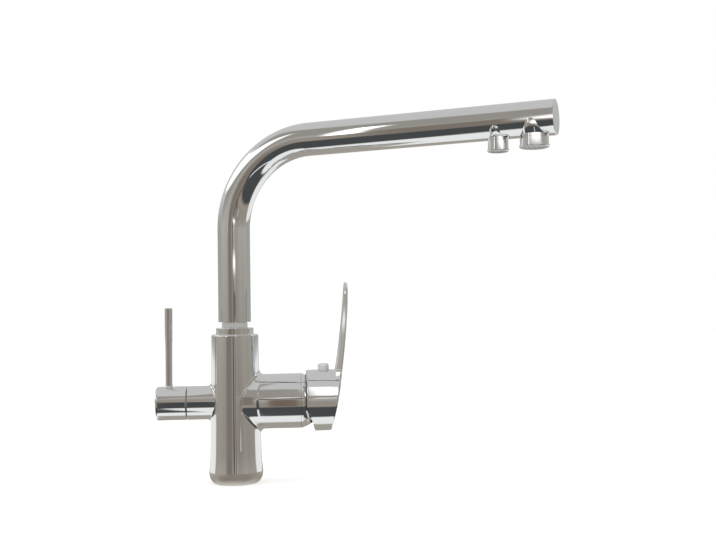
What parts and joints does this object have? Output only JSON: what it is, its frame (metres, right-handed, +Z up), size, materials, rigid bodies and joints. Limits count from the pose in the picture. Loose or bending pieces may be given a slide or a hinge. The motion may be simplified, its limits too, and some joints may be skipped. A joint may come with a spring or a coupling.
{
  "type": "drinking water filter tap",
  "caption": "Deck-mounted kitchen mixer with side lever, separate filter valve with pin lever, and a swivel spout with a mixed and a filtered outlet.",
  "frame": {"origin": "centre of the base opening in the underside that rests on the worktop", "axes": "+Z up the column, +X along the branch towards the mixer lever, -Y towards the user"},
  "size_m": [0.2922, 0.145, 0.2725],
  "materials": {
    "chrome": "polished",
    "slide_plastic": "smooth",
    "rubber": "matte",
    "cartridge_plastic": "smooth",
    "ceramic": "lapped",
    "steel": "satin",
    "brass": "turned",
    "plug_plastic": "gloss",
    "insert_plastic": "smooth"
  },
  "bodies": {
    "tap_body": {"tap_column": "chrome", "base_ring": "chrome", "base_gasket": "rubber", "spout_collar": "chrome", "upper_slide_ring": "slide_plastic", "lower_slide_ring": "slide_plastic", "inner_tube_seal": "rubber", "cartridge_base": "cartridge_plastic", "cartridge_seals": "rubber", "fixed_disc": "ceramic", "cartridge_housing": "cartridge_plastic", "cartridge_nut": "brass", "barrel_cover": "chrome", "valve_body": "brass", "valve_seat_seal": "rubber", "valve_fixed_disc": "ceramic"},
    "mixer_carrier": {"cartridge_rotor": "cartridge_plastic", "stem_pin": "steel"},
    "disc_block": {"moving_disc": "ceramic", "disc_driver": "cartridge_plastic"},
    "mixer_handle": {"cartridge_stem": "steel", "mixer_lever": "chrome", "lever_screw": "steel", "index_plug": "plug_plastic"},
    "filter_handle": {"filter_knob": "chrome", "pin_lever": "chrome", "knob_screw": "steel", "valve_spindle": "brass", "spindle_seal": "rubber", "spindle_clip": "steel", "valve_turning_disc": "ceramic"},
    "spout": {"spout_tube": "chrome", "spout_nipple": "brass", "nipple_seals": "rubber", "nipple_clip": "slide_plastic", "end_cap": "chrome", "inner_tube": "steel", "filter_outlet_socket": "chrome", "filter_outlet_housing": "chrome", "filter_outlet_seal": "rubber", "filter_outlet_insert": "insert_plastic", "mixed_outlet_socket": "chrome", "mixed_outlet_housing": "chrome", "mixed_outlet_seal": "rubber", "mixed_outlet_insert": "insert_plastic"}
  },
  "joints": [
    {"name": "mixer_turn", "type": "hinge", "parent": "tap_body", "child": "mixer_carrier", "pos_m": [0, 0, 0.0615], "axis": [1, 0, 0], "range_deg": [-50, 50]},
    {"name": "mixer_lift", "type": "hinge", "parent": "mixer_carrier", "child": "mixer_handle", "pos_m": [0.046, 0, 0.0615], "axis": [0, 1, 0], "range_deg": [0, 25]},
    {"name": "disc_travel", "type": "slide", "parent": "mixer_carrier", "child": "disc_block", "axis": [0, 0, 1], "range_m": [0, 0.00434]},
    {"name": "filter_turn", "type": "hinge", "parent": "tap_body", "child": "filter_handle", "pos_m": [0, 0, 0.0615], "axis": [1, 0, 0], "range_deg": [0, 90]},
    {"name": "spout_swivel", "type": "hinge", "parent": "tap_body", "child": "spout", "pos_m": [0, 0, 0], "axis": [0, 0, 1], "continuous": true}
  ],
  "couplings": [
    {"joint": "disc_travel", "follows": "mixer_lift", "m_per_rad": 0.00993}
  ]
}
